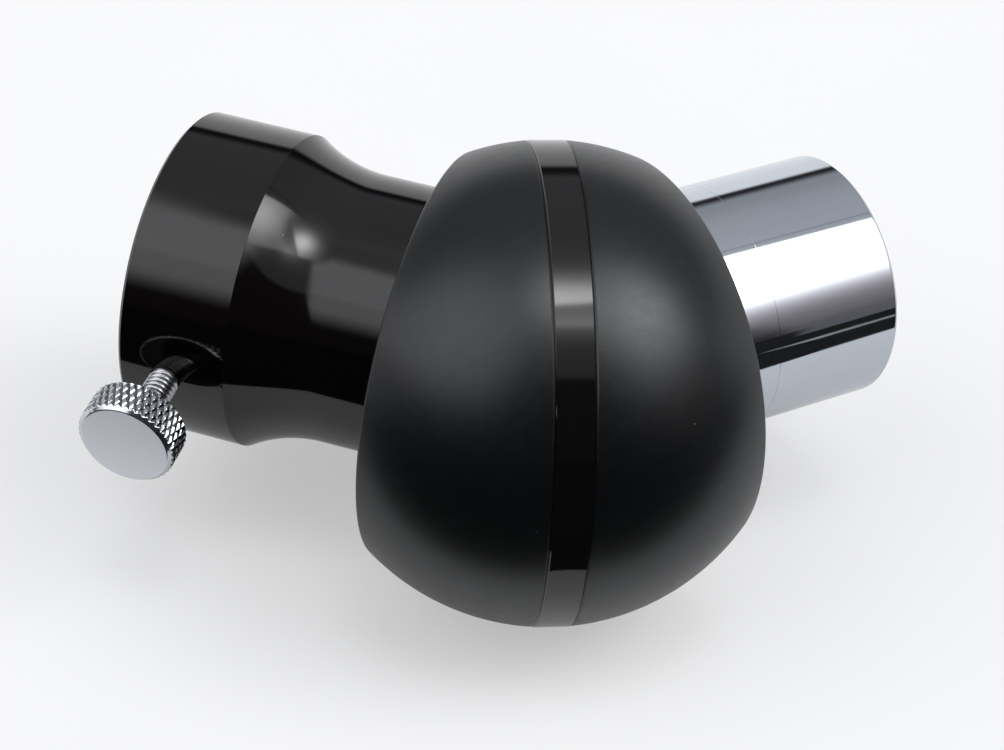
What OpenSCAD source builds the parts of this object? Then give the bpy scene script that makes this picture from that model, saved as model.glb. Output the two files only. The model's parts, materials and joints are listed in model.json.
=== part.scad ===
// 45 degree erecting star diagonal for 1.25 inch eyepieces.
// Two turned half shells and a centre band make a ball that holds a roof prism.
// Origin: on the nosepiece's axis, at the middle of its full-diameter land.
// +X runs out along the nosepiece, +Z is square to the plane of the bend.

/* [Bend] */
// Angle by which the light path is bent
bend = 45; // [45:1:46]
// Distance from the nosepiece land's middle to the crossing of the two tube axes
vertex_x = 34; // [33:0.5:35]

/* [Ball housing] */
// Radius of the ball
ball_r = 29.9; // [29.6:0.1:31]
// How far the ball's centre lies from the axes' crossing, towards the outside of the bend
ball_offset = 5.5; // [5.2:0.1:5.8]
// Distance from the ball's centre to the flat that the eyepiece holder stands on
holder_face = 15.4; // [15.2:0.1:15.8]
// Distance from the ball's centre to the flat that the nosepiece stands on
nose_face = 16; // [15.8:0.1:16.4]
// Rounding of the edge between ball and flat
rim_fillet = 0.65; // [0.4:0.05:1.2]
// Thickness of the shells' round wall
shell_wall = 2.9; // [2.6:0.1:3.1]
// Thickness of the shells' flat end wall
end_wall = 3; // [2.8:0.1:3.1]

/* [Centre band] */
// Width of the band between the two shells
band_w = 4.7; // [4.2:0.1:5.2]
// Size of the fine V groove on each side of the band
seam_groove = 0.34; // [0.2:0.02:0.5]
// How far the band's register lips reach into each shell
lip_len = 2.75; // [2.2:0.05:3]
// Inner radius of the band and of its lips
band_inner_r = 25.6; // [25.4:0.1:25.8]

/* [Nosepiece] */
// Outer radius of the nosepiece, for a 1.25 inch focuser
nose_r = 15.85; // [15.8:0.01:15.87]
// Length of the nosepiece outside the ball
nose_len = 29; // [28:0.5:31]
// Length of the full-diameter land at the free end
nose_land = 17.7; // [16:0.1:19]
// Depth of the relief between land and ball
nose_relief = 0.1; // [0.05:0.01:0.2]
// Radius of the tube's bore
nose_bore_r = 13.2; // [12.8:0.1:13.4]
// Radius of the filter thread's wall
filter_r = 14; // [13.8:0.05:14.1]
// Depth of the filter thread
filter_depth = 6.5; // [5:0.1:8]

/* [Eyepiece holder] */
// Radius of the holder's straight barrel
barrel_r = 20.35; // [20:0.05:21]
// Distance from the axes' crossing to the holder's open end
barrel_end = 48.3; // [47.5:0.1:49.5]
// Distance from the axes' crossing to the corner where the waist begins
barrel_corner = 34.4; // [34:0.1:35]
// Radius of the neck next to the ball
neck_r = 17.4; // [17.3:0.05:17.6]
// Radius of the waist's hollow curve
waist_r = 18.2; // [16:0.1:19]
// Radius of the eyepiece bore
eyepiece_r = 15.9; // [15.88:0.01:15.95]
// Depth of the eyepiece bore
eyepiece_depth = 28; // [27:0.5:29]
// Radius of the light path below the eyepiece
light_r = 13.2; // [12.8:0.1:13.4]

/* [Clamp ring and thumbscrew] */
// Distance from the axes' crossing to the thumbscrew
screw_at = 42.2; // [41.6:0.1:42.6]
// Turn of the thumbscrew out of the plane of the bend
screw_clock = 4.4; // [0:0.2:8]
// Radius of the clamp ring's groove
groove_r = 16.9; // [16.8:0.05:17]
// Width of the clamp ring
ring_w = 6; // [5:0.2:6.4]
// Thickness of the clamp ring
ring_t = 0.8; // [0.6:0.05:0.85]
// Radius of the threaded stud
stud_r = 1.95; // [1.9:0.01:1.97]
// Radius of the knurled knob
knob_r = 6.2; // [5.6:0.1:7]
// Thickness of the knob
knob_t = 5; // [4:0.1:6]
// Distance from the holder's axis to the knob's inner face
knob_at = 27; // [26:0.1:28]
// Free travel between the pressure pad and the clamp ring
pad_gap = 0.6; // [0.5:0.1:0.8]

/* [Prism and cage] */
// Distance from the axes' crossing to the prism's two long faces
prism_face = 6.3; // [6.2:0.1:6.4]
// Height of the prism's triangle, from its apex to the roof ridge
prism_height = 39.5; // [39:0.1:39.6]
// Half of the prism's width
prism_half_w = 12.2; // [11.8:0.1:12.2]
// Thickness of the cork pads
cork_t = 0.4; // [0.3:0.05:0.4]
// Thickness of the cage plates
cage_t = 2.4; // [2.2:0.1:2.4]
// Radius of the cage plates
cage_r = 19.5; // [19:0.1:19.6]
// Radius of the round apertures in front of the prism
aperture_r = 11.8; // [11:0.1:12]

/* [Hidden] */
$fn = 120;

half = bend / 2;
holder_turn = 180 - half;
far = 100;
fit_gap = 0.03;

// shells
cavity_r = ball_r - shell_wall;
spigot_r = 15;
lock_t = 1.8;
lock_r = 17;
holder_base = holder_face - ball_offset * sin(half);
nose_base = nose_face - ball_offset * sin(half);

// band
register_r = cavity_r;
lug_x = 4.5;
lug_y = 8;
lug_r = 26.5;
plate_z = prism_half_w + cork_t;
lug_z = plate_z + cage_t;
saddle_lug_z = 5.5;
saddle_back = 21.3;

// holder
waist_rise = barrel_r - neck_r;
waist_len = sqrt(2 * waist_r * waist_rise - waist_rise * waist_rise);
waist_start = barrel_corner - waist_len;
end_chamfer = 0.45;
bore_chamfer = 0.6;
groove_w = ring_w + 0.2;
ring_gap = 8;
screw_hole_r = 2;

// thumbscrew
ring_outer_r = groove_r - 0.1;
pad_bottom = ring_outer_r + pad_gap;
pad_t = 1;
pad_r = 1.6;
pad_play = 0.05;
stem_r = 0.8;
stem_len = 0.55;
stud_seat = 4;
knob_chamfer = 0.6;

// prism
apex_y = prism_face / sin(half);
ridge_y = apex_y - prism_height;
apex_flat = 4.4;
corner_x = 14.5;

// cage
plate_face = prism_face + ball_offset * sin(half);
aperture_t = 1;
aperture_gap = 0.05;
tap_gap = 0.03;
csk_y = 5;
csk_head_r = 2.35;
csk_head_t = 1.4;
csk_shank_r = 1.25;
csk_len = 7.4;
ap_screw_r = 0.8;
ap_screw_len = 3.4;
ap_head_r = 1.4;
ap_head_t = 0.9;
ap_screw_w = [-6.5, 10];
screw_z = plate_z + cage_t / 2;
saddle_x = 13;
saddle_leg = 3;
saddle_web = 2.3;
saddle_half_z = 7;
saddle_top = 14.5;
foam_t = 0.4;
saddle_screw_z = 3.2;
saddle_screw_r = 1;
saddle_head_r = 1.9;
saddle_head_t = 1.1;
saddle_screw_len = 5.2;

// Frames. Local +Z runs out along the nosepiece, measured from the crossing of the axes.
module along_nose() {
    translate([-vertex_x, 0, 0]) rotate([0, 90, 0]) children();
}

// Local +Z runs out along the eyepiece holder, and +Y points to the outside of the bend.
module along_holder() {
    translate([-vertex_x, 0, 0]) rotate([0, 0, 180 - bend]) rotate([0, 90, 0]) children();
}

// Centred on the ball: X is square to the band, +Y points to the inside of the bend.
module in_ball() {
    translate([-vertex_x, 0, 0]) rotate([0, 0, -half]) translate([0, -ball_offset, 0]) children();
}

// Local +Z is the thumbscrew's axis, measured outwards from the holder's axis.
module at_screw() {
    along_holder() translate([0, 0, screw_at]) rotate([0, 0, -screw_clock])
        rotate([-90, 0, 0]) children();
}

// Half section of the ball, flat at height h, with a rounded rim
module ball_section(h) {
    inner = ball_r - rim_fillet;
    rim_y = h - rim_fillet;
    rim_x = sqrt(inner * inner - rim_y * rim_y);
    spread = 1.1;
    difference() {
        circle(ball_r);
        translate([-2 * far, -far]) square(2 * far);
        translate([-far, h]) square(2 * far);
        difference() {
            polygon([[rim_x, rim_y], [rim_x, h + 1], [rim_x * spread, h + 1],
                [rim_x * spread, rim_y * spread]]);
            translate([rim_x, rim_y]) circle(rim_fillet);
        }
    }
}

// V groove round the seam between band and shell, at distance x from the band's middle plane
module seam_cut(x) {
    translate([x, 0, 0]) rotate([0, 90, 0]) rotate_extrude()
        translate([ball_r, 0]) rotate(45) square(seam_groove, center = true);
}

// One half shell: turn is the tube's direction in the ball's frame, side is -1 or 1 along X
module shell(turn, face, side) {
    in_ball() difference() {
        rotate([0, 0, turn]) rotate([0, 90, 0]) rotate_extrude() ball_section(face);
        translate([side * (band_w / 2 - far), 0, 0]) cube(2 * far, center = true);
        intersection() {
            sphere(cavity_r);
            rotate([0, 0, turn]) translate([face - end_wall - far, 0, 0]) cube(2 * far, center = true);
        }
        rotate([0, side * 90, 0]) cylinder(r = register_r, h = band_w / 2 + lip_len + 0.25);
        rotate([0, 0, turn]) translate([face / 2, ball_offset * cos(turn), 0])
            rotate([0, 90, 0]) cylinder(r = spigot_r + fit_gap, h = face);
        seam_cut(side * band_w / 2);
    }
}

module eyepiece_side_shell() {
    color([0.13, 0.13, 0.14]) shell(holder_turn, holder_face, -1);
}

module nosepiece_side_shell() {
    color([0.13, 0.13, 0.14]) shell(half, nose_face, 1);
}

// Ring between the shells, with register lips, two cage lugs and a lug for the saddle
module centre_band() {
    color([0.03, 0.03, 0.035]) in_ball() difference() {
        union() {
            rotate([0, 90, 0]) difference() {
                union() {
                    cylinder(r = ball_r - 0.03, h = band_w, center = true);
                    cylinder(r = register_r - fit_gap, h = band_w + 2 * lip_len, center = true);
                }
                cylinder(r = band_inner_r, h = far, center = true);
            }
            intersection() {
                rotate([0, 90, 0]) cylinder(r = lug_r, h = 2 * lug_x, center = true);
                union() {
                    for (s = [-1, 1])
                        translate([-far, -lug_y, s > 0 ? lug_z : -lug_z - far]) cube([2 * far, 2 * lug_y, far]);
                    translate([-far, -saddle_back - far, -saddle_lug_z])
                        cube([2 * far, far, 2 * saddle_lug_z]);
                }
            }
        }
        for (x = [-band_w / 2, band_w / 2])
            seam_cut(x);
        for (s = [-1, 1], y = [-csk_y, csk_y])
            translate([0, y, s > 0 ? lug_z - 1 : -lug_z - csk_len + 1])
                cylinder(r = csk_shank_r + tap_gap, h = csk_len);
        for (z = [-saddle_screw_z, saddle_screw_z])
            translate([0, -saddle_back + 1, z]) rotate([90, 0, 0])
                cylinder(r = saddle_screw_r + tap_gap, h = saddle_screw_len);
    }
}

// Half section of the eyepiece holder: radius across, distance from the axes' crossing up
module holder_section() {
    spigot_end = holder_base - end_wall - lock_t;
    bore_end = barrel_end - eyepiece_depth;
    difference() {
        polygon([[light_r, spigot_end], [spigot_r, spigot_end], [spigot_r, holder_base],
            [neck_r, holder_base], [neck_r, waist_start], [barrel_r, waist_start],
            [barrel_r, barrel_end - end_chamfer], [barrel_r - end_chamfer, barrel_end],
            [eyepiece_r + bore_chamfer, barrel_end], [eyepiece_r, barrel_end - bore_chamfer],
            [eyepiece_r, bore_end], [light_r, bore_end]]);
        translate([neck_r + waist_r, waist_start]) circle(waist_r);
        translate([eyepiece_r - 1, screw_at - groove_w / 2])
            square([groove_r - eyepiece_r + 1, groove_w]);
    }
}

module eyepiece_holder() {
    color([0.02, 0.02, 0.022]) difference() {
        along_holder() rotate_extrude() holder_section();
        at_screw() translate([0, 0, eyepiece_r - 2]) cylinder(r = screw_hole_r, h = 10);
    }
}

// Threaded ring with two spanner slots, that locks a tube's spigot inside the shell
module lock_ring(base) {
    slot = 2.4;
    translate([0, 0, base - end_wall - lock_t]) difference() {
        cylinder(r = lock_r, h = lock_t);
        cylinder(r = spigot_r + fit_gap, h = far, center = true);
        for (a = [0, 180])
            rotate(a) translate([lock_r - 1.2, -slot / 2, -1]) cube([slot, slot, lock_t + 2]);
    }
}

module holder_lock_ring() {
    color([0.35, 0.35, 0.37]) along_holder() lock_ring(holder_base);
}

module nosepiece_lock_ring() {
    color([0.35, 0.35, 0.37]) along_nose() lock_ring(nose_base);
}

module nosepiece_tube() {
    spigot_end = nose_base - end_wall - lock_t;
    nose_end = nose_base + nose_len;
    land_start = nose_end - nose_land;
    outer = nose_r - nose_relief;
    chamfer = 0.5;
    mouth = 0.3;
    color([0.82, 0.83, 0.86]) along_nose() rotate_extrude()
        polygon([[nose_bore_r, spigot_end], [spigot_r, spigot_end], [spigot_r, nose_base],
            [outer, nose_base], [outer, land_start], [nose_r, land_start + nose_relief],
            [nose_r, nose_end - chamfer], [nose_r - chamfer, nose_end],
            [filter_r + mouth, nose_end], [filter_r, nose_end - mouth],
            [filter_r, nose_end - filter_depth], [nose_bore_r, nose_end - filter_depth]]);
}

// Split brass ring that the thumbscrew presses onto the eyepiece
module clamp_ring() {
    color([0.78, 0.6, 0.25]) along_holder() translate([0, 0, screw_at]) difference() {
        cylinder(r = ring_outer_r, h = ring_w, center = true);
        cylinder(r = ring_outer_r - ring_t, h = far, center = true);
        translate([0, -ring_gap / 2, -far / 2]) cube([far, ring_gap, far]);
    }
}

// Outline of the prism in the plane of the bend, in the ball's frame
module prism_outline() {
    rise = tan(half);
    translate([0, ball_offset]) intersection() {
        polygon([[-apex_flat * rise, apex_y - apex_flat], [apex_flat * rise, apex_y - apex_flat],
            [prism_height * rise, ridge_y], [-prism_height * rise, ridge_y]]);
        translate([-corner_x, -far]) square([2 * corner_x, 2 * far]);
    }
}

// Cross section through the roof: Y is up the prism, the second axis runs across its width
module roof_outline(w, lift) {
    ridge = ridge_y + ball_offset - lift;
    polygon([[ridge, 0], [ridge + w, w], [far, w], [far, -w], [ridge + w, -w]]);
}

// Turns an outline drawn in Y and Z into a bar along X
module bar_along_x(len) {
    rotate([90, 0, 90]) linear_extrude(len, center = true) children();
}

module roof_prism() {
    color([0.75, 0.88, 0.9, 0.6]) in_ball() intersection() {
        linear_extrude(2 * prism_half_w, center = true) prism_outline();
        bar_along_x(far) roof_outline(prism_half_w, 0);
    }
}

// Local +Z runs out along the tube at angle a, from the outer side of the cage plate's edge
module aperture_screw_place(a, w, side) {
    rotate([0, 0, a]) translate([plate_face, ball_offset * cos(a) - sign(cos(a)) * w, side * screw_z])
        rotate([0, 90, 0]) children();
}

// Outline of the cage plates: a disc cut off along the prism's two long faces
module cage_outline(r, inset) {
    difference() {
        circle(r);
        for (a = [half, holder_turn])
            rotate(a) translate([plate_face - inset, -far]) square([far, 2 * far]);
    }
}

module countersunk_screw(r, len, head_r, head_t) {
    cylinder(r1 = head_r, r2 = r, h = head_t);
    cylinder(r = r, h = len);
}

// Cage plate above (side 1) or below (side -1) the prism
module cage_plate(side) {
    in_ball() mirror([0, 0, side < 0 ? 1 : 0]) difference() {
        translate([0, 0, plate_z]) linear_extrude(cage_t) cage_outline(cage_r, 0);
        for (y = [-csk_y, csk_y])
            translate([0, y, plate_z - 0.01]) countersunk_screw(csk_shank_r + tap_gap, cage_t + 1,
                csk_head_r + tap_gap, csk_head_t + tap_gap);
        for (a = [half, holder_turn], w = ap_screw_w)
            aperture_screw_place(a, w, 1) translate([0, 0, -ap_screw_len])
                cylinder(r = ap_screw_r + tap_gap, h = 2 * ap_screw_len);
    }
}

module upper_cage_plate() {
    color([0.2, 0.2, 0.22]) cage_plate(1);
}

module lower_cage_plate() {
    color([0.2, 0.2, 0.22]) cage_plate(-1);
}

// Cork pad between a cage plate and the prism, with the prism's own outline
module cork_pad(side) {
    in_ball() mirror([0, 0, side < 0 ? 1 : 0]) translate([0, 0, prism_half_w]) linear_extrude(cork_t)
        intersection() {
            prism_outline();
            translate([-far, ridge_y + ball_offset + prism_half_w]) square(2 * far);
        }
}

module upper_cork_pad() {
    color([0.62, 0.45, 0.28]) cork_pad(1);
}

module lower_cork_pad() {
    color([0.62, 0.45, 0.28]) cork_pad(-1);
}

// Blackened plate with a round aperture, screwed to the edges of both cage plates
module aperture_plate(a) {
    toward_apex = 12.6;
    toward_roof = 13;
    color([0.1, 0.1, 0.11]) in_ball() difference() {
        rotate([0, 0, a]) translate([plate_face + aperture_gap, ball_offset * cos(a), 0])
            mirror([0, cos(a) > 0 ? 0 : 1, 0]) difference() {
                translate([0, -toward_roof, -lug_z])
                    cube([aperture_t, toward_roof + toward_apex, 2 * lug_z]);
                rotate([0, 90, 0]) cylinder(r = aperture_r, h = far, center = true);
            }
        for (side = [-1, 1], w = ap_screw_w)
            aperture_screw_place(a, w, side)
                cylinder(r = ap_screw_r + tap_gap, h = far, center = true);
    }
}

module entrance_aperture_plate() {
    aperture_plate(half);
}

module exit_aperture_plate() {
    aperture_plate(holder_turn);
}

module aperture_plate_screws() {
    seat = aperture_gap + aperture_t;
    color([0.6, 0.6, 0.62]) in_ball()
        for (a = [half, holder_turn], side = [-1, 1], w = ap_screw_w)
            aperture_screw_place(a, w, side) {
                translate([0, 0, seat - ap_screw_len]) cylinder(r = ap_screw_r, h = ap_screw_len);
                translate([0, 0, seat]) difference() {
                    cylinder(r = ap_head_r, h = ap_head_t);
                    translate([-far, -0.2, ap_head_t / 2]) cube([2 * far, 0.4, far]);
                }
            }
}

module cage_screws() {
    color([0.6, 0.6, 0.62]) in_ball()
        for (side = [0, 1], y = [-csk_y, csk_y])
            mirror([0, 0, side]) translate([0, y, plate_z]) difference() {
                countersunk_screw(csk_shank_r, csk_len, csk_head_r, csk_head_t);
                translate([-far, -0.3, -far + 0.6]) cube([2 * far, 0.6, far]);
            }
}

// V block that carries the two ends of the roof
module roof_saddle() {
    base = ridge_y + ball_offset;
    color([0.2, 0.2, 0.22]) in_ball() difference() {
        translate([-saddle_x, -saddle_back, -saddle_half_z])
            cube([2 * saddle_x, saddle_back - saddle_top, 2 * saddle_half_z]);
        bar_along_x(far) roof_outline(far, foam_t * sqrt(2));
        translate([-saddle_x + saddle_leg, saddle_web - saddle_back, -far])
            cube([2 * (saddle_x - saddle_leg), far, 2 * far]);
        for (z = [-saddle_screw_z, saddle_screw_z])
            translate([0, base, z]) rotate([90, 0, 0]) cylinder(r = saddle_screw_r + tap_gap, h = far);
    }
}

// Foam strips between the saddle's two legs and the roof
module saddle_pads() {
    near = 1;
    reach = 6;
    color([0.15, 0.15, 0.16]) in_ball()
        for (side = [-1, 1], flip = [0, 1])
            translate([side * (saddle_x - saddle_leg / 2), 0, 0]) mirror([0, 0, flip])
                bar_along_x(saddle_leg) intersection() {
                    difference() {
                        roof_outline(far, foam_t * sqrt(2));
                        roof_outline(far, 0);
                    }
                    translate([-far, near]) square([2 * far, reach - near]);
                }
}

module saddle_screws() {
    color([0.6, 0.6, 0.62]) in_ball()
        for (z = [-saddle_screw_z, saddle_screw_z])
            translate([0, saddle_web - saddle_back, z]) rotate([90, 0, 0]) {
                cylinder(r = saddle_screw_r, h = saddle_screw_len);
                translate([0, 0, -saddle_head_t]) difference() {
                    cylinder(r = saddle_head_r, h = saddle_head_t);
                    translate([-far, -0.2, -0.01]) cube([2 * far, 0.4, saddle_head_t / 2]);
                }
            }
}

// Bar between the cage plates that stops the prism at its flattened apex
module apex_stop_bar() {
    start = apex_y + ball_offset - apex_flat + 0.1;
    width = 1.7;
    color([0.2, 0.2, 0.22]) in_ball() linear_extrude(2 * plate_z, center = true) intersection() {
        cage_outline(cage_r - 0.1, 0.1);
        translate([-width, start]) square([2 * width, far]);
    }
}

module thumbscrew_knob() {
    bore = stud_r + 0.01;
    color([0.8, 0.81, 0.84]) at_screw() translate([0, 0, knob_at]) rotate_extrude()
        polygon([[bore, 0], [knob_r - knob_chamfer, 0], [knob_r, knob_chamfer],
            [knob_r, knob_t - knob_chamfer], [knob_r - knob_chamfer, knob_t], [0, knob_t],
            [0, stud_seat], [bore, stud_seat]]);
}

// Threaded stud, pressed into the knob, with a stem for the pressure pad
module thumbscrew_stud() {
    tip = pad_bottom + pad_t + pad_play;
    point = 0.3;
    color([0.7, 0.71, 0.74]) at_screw() rotate_extrude()
        polygon([[0, tip - stem_len], [stem_r, tip - stem_len], [stem_r, tip],
            [stud_r - point, tip], [stud_r, tip + point], [stud_r, knob_at + stud_seat],
            [0, knob_at + stud_seat]]);
}

// Pad that swivels on the stud's stem and doesn't turn on the clamp ring
module pressure_pad() {
    color([0.85, 0.84, 0.8]) at_screw() translate([0, 0, pad_bottom]) difference() {
        cylinder(r = pad_r, h = pad_t);
        translate([0, 0, pad_t - stem_len - pad_play]) cylinder(r = stem_r + pad_play, h = pad_t);
    }
}

eyepiece_side_shell();
nosepiece_side_shell();
centre_band();
eyepiece_holder();
holder_lock_ring();
nosepiece_tube();
nosepiece_lock_ring();
clamp_ring();
roof_prism();
upper_cage_plate();
lower_cage_plate();
upper_cork_pad();
lower_cork_pad();
entrance_aperture_plate();
exit_aperture_plate();
aperture_plate_screws();
cage_screws();
roof_saddle();
saddle_pads();
saddle_screws();
apex_stop_bar();
thumbscrew_knob();
thumbscrew_stud();
pressure_pad();
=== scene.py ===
import json
import math

import bmesh
import bpy
from mathutils import Matrix, Vector


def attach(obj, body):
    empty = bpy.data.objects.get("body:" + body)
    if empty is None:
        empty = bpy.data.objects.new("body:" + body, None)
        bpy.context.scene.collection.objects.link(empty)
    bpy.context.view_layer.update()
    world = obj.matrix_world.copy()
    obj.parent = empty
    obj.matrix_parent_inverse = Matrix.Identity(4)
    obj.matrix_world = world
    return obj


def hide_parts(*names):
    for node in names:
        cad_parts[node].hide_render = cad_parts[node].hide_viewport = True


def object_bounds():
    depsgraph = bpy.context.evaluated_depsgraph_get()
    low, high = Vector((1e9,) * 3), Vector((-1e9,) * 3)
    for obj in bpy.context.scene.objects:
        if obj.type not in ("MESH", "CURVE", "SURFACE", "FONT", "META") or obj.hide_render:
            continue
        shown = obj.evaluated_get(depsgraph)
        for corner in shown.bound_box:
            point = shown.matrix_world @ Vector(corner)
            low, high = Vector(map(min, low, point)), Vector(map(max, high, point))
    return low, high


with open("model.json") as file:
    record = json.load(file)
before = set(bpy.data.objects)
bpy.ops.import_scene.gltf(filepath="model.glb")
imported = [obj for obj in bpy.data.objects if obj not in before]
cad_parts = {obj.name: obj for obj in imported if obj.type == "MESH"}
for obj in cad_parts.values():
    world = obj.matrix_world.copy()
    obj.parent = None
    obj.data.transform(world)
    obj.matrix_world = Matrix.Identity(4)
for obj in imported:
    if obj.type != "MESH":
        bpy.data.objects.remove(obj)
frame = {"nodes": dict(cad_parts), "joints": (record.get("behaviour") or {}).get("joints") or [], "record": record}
cad_low, cad_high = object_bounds()
record = frame["record"]
nodes = frame["nodes"]
scene = bpy.context.scene

MM = 0.001
MICRON = 0.000001
TURN = 2 * math.pi
UP = Vector((0, 0, 1))

# ---------------------------------------------------------------- dimensions, in mm

# ball: two half shells with a band between them
BALL_R = 29.9
BALL_OFFSET = 5.5
HALF_BEND = math.radians(22.5)
CAVITY_R = 27.0
END_WALL = 3.0
RIM_FILLET = 0.65
BAND_W = 4.7
BAND_LIP, LIP_GAP = 2.75, 0.25
SEAM = 0.34 / math.sqrt(2)

# the flats that the tubes stand on: from the ball's centre, then from where the tubes' axes cross
HOLDER_FACE, NOSE_FACE = 15.4, 16.0
HOLDER_BASE = HOLDER_FACE - BALL_OFFSET * math.sin(HALF_BEND)
NOSE_BASE = NOSE_FACE - BALL_OFFSET * math.sin(HALF_BEND)
SPIGOT_R, HOLE_R = 15.0, 15.03
LOCK_T = 1.8

# eyepiece holder
BARREL_R, BARREL_END, BARREL_CORNER = 20.35, 48.3, 34.4
NECK_R, WAIST_R = 17.4, 18.2
EYEPIECE_R, EYEPIECE_DEPTH, LIGHT_R = 15.9, 28.0, 13.2
GROOVE_R, GROOVE_W = 16.9, 6.2
RISE = BARREL_R - NECK_R
WAIST_START = BARREL_CORNER - math.sqrt(2 * WAIST_R * RISE - RISE * RISE)

# nosepiece
NOSE_R, NOSE_LEN, NOSE_LAND, RELIEF = 15.85, 29.0, 17.7, 0.02
NOSE_BORE_R, FILTER_R, FILTER_DEPTH = 13.2, 14.0, 6.5
FILTER_PITCH, FILTER_CUT = 0.6, 0.3
NOSE_END = NOSE_BASE + NOSE_LEN

# thumbscrew: SCREW_AT is along the holder, all other heights are along the screw, from the holder's axis
SCREW_AT, SCREW_HOLE_R = 42.2, 2.0
KNOB_R, KNOB_T, KNOB_AT, KNOB_CHAMFER = 6.2, 5.0, 27.0, 0.6
KNOB_TOP = KNOB_AT + KNOB_T
KNURLS, KNURL_DEPTH, KNURL_PITCH = 40, 0.27, 2.3
STUD_R, STUD_ROOT, STUD_PITCH, STUD_SEAT = 1.95, 1.6, 0.7, 4.0
CLAMP_RING_R = GROOVE_R - 0.1
PAD_GAP, PAD_T, PAD_PLAY = 0.6, 1.0, 0.05
STUD_TIP = CLAMP_RING_R + PAD_GAP + PAD_T + PAD_PLAY
STEM_R, STEM_LEN = 0.8, 0.55

# fillets of small edges, and how closely the round pieces are divided
FINE, EDGE, SOFT = 0.05, 0.1, 0.15
BALL_SIDES, TUBE_SIDES, SCREW_SIDES = 216, 240, 64

# ---------------------------------------------------------------- the part's own frames

mounts = {m["name"]: m for m in record["mounts"]}
nose_axis = Vector(mounts["nosepiece"]["axis"]).normalized()
holder_axis = Vector(mounts["eyepiece_bore"]["axis"]).normalized()
bore_point = Vector(mounts["eyepiece_bore"]["pos_m"])
screw_out = -Vector(frame["joints"][0]["axis"]).normalized()
# where the two tubes' axes cross: the nosepiece's axis is the row's X axis
crossing = bore_point - holder_axis * (bore_point.y / holder_axis.y)


def placed(origin, z, y):
    """A frame with local Z along z and local Y as near to y as it can be."""
    z = z.normalized()
    x = y.cross(z).normalized()
    y = z.cross(x)
    return Matrix(((x.x, y.x, z.x, origin.x), (x.y, y.y, z.y, origin.y),
                   (x.z, y.z, z.z, origin.z), (0, 0, 0, 1)))


# square to the band, towards the nosepiece, and towards the inside of the bend
ball_x = (nose_axis - holder_axis).normalized()
ball_y = (nose_axis + holder_axis).normalized()
centre = crossing - ball_y * BALL_OFFSET * MM
along_nose = placed(crossing, nose_axis, UP.cross(nose_axis))
along_holder = placed(crossing, holder_axis, UP.cross(holder_axis))
screw_base = crossing + holder_axis * SCREW_AT * MM
at_screw = placed(screw_base, screw_out, holder_axis)

# ---------------------------------------------------------------- mesh helpers


def finish_mesh(name, verts, faces, body, node, slot, sharp):
    """Makes the piece from points in metres, closes its doubles and sets its shading."""
    bm = bmesh.new()
    made = [bm.verts.new(v) for v in verts]
    for f in faces:
        bm.faces.new([made[i] for i in f])
    bmesh.ops.remove_doubles(bm, verts=bm.verts, dist=1e-6)
    bmesh.ops.dissolve_degenerate(bm, edges=bm.edges, dist=1e-7)
    bmesh.ops.recalc_face_normals(bm, faces=bm.faces)
    for f in bm.faces:
        f.smooth = True
    mesh = bpy.data.meshes.new(name)
    bm.to_mesh(mesh)
    bm.free()
    mesh.set_sharp_from_angle(angle=math.radians(sharp))
    mesh.materials.append(look[slot])
    obj = bpy.data.objects.new(name, mesh)
    scene.collection.objects.link(obj)
    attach(obj, body)
    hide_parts(node)
    return obj


def skin(rings, closed=True):
    """Points and quads between rings of equal length, each ring a loop."""
    n = len(rings[0])
    faces = []
    for k in range(len(rings) if closed else len(rings) - 1):
        a, b = k * n, ((k + 1) % len(rings)) * n
        faces += [(a + i, a + (i + 1) % n, b + (i + 1) % n, b + i) for i in range(n)]
    return [p for ring in rings for p in ring], faces


def rounded(corners, guard=0.06, steps=4):
    """A closed profile of (r, z, fillet) corners in mm, with its corners rounded."""
    out = []
    for i, (r, z, fillet) in enumerate(corners):
        p = Vector((r, z))
        if fillet <= 0:
            out.append(p)
            continue
        u = (Vector(corners[i - 1][:2]) - p).normalized()
        w = (Vector(corners[(i + 1) % len(corners)][:2]) - p).normalized()
        half = u.angle(w) / 2
        reach = fillet / math.tan(half)
        c = p + (u + w).normalized() * (fillet / math.sin(half))
        first, last = p + u * reach, p + w * reach
        a0 = math.atan2(first.y - c.y, first.x - c.x)
        a1 = math.atan2(last.y - c.y, last.x - c.x)
        sweep = (a1 - a0 + math.pi) % TURN - math.pi
        out.append(first + u * guard)
        for a in steps_between(a0, a0 + sweep, steps):
            out.append(c + Vector((math.cos(a), math.sin(a))) * fillet)
        out.append(last + w * guard)
    return out


def lathe_rings(profile, place, sides, radius=None):
    """Rings of a profile turned round local Z. radius(r, z, angle) may vary the radius."""
    rings = []
    for p in profile:
        ring = []
        for i in range(sides):
            a = TURN * i / sides
            r = radius(p[0], p[1], a) if radius else p[0]
            ring.append(place @ Vector((r * math.cos(a) * MM, r * math.sin(a) * MM, p[1] * MM)))
        rings.append(ring)
    return rings


def steps_between(a, b, count):
    return [a + (b - a) * k / count for k in range(count + 1)]


def ridge(turn):
    """A triangle wave of period 1: 0 at whole numbers, 1 halfway between them."""
    return 1 - abs(2 * (turn % 1.0) - 1)


# ---------------------------------------------------------------- node helpers


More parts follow.
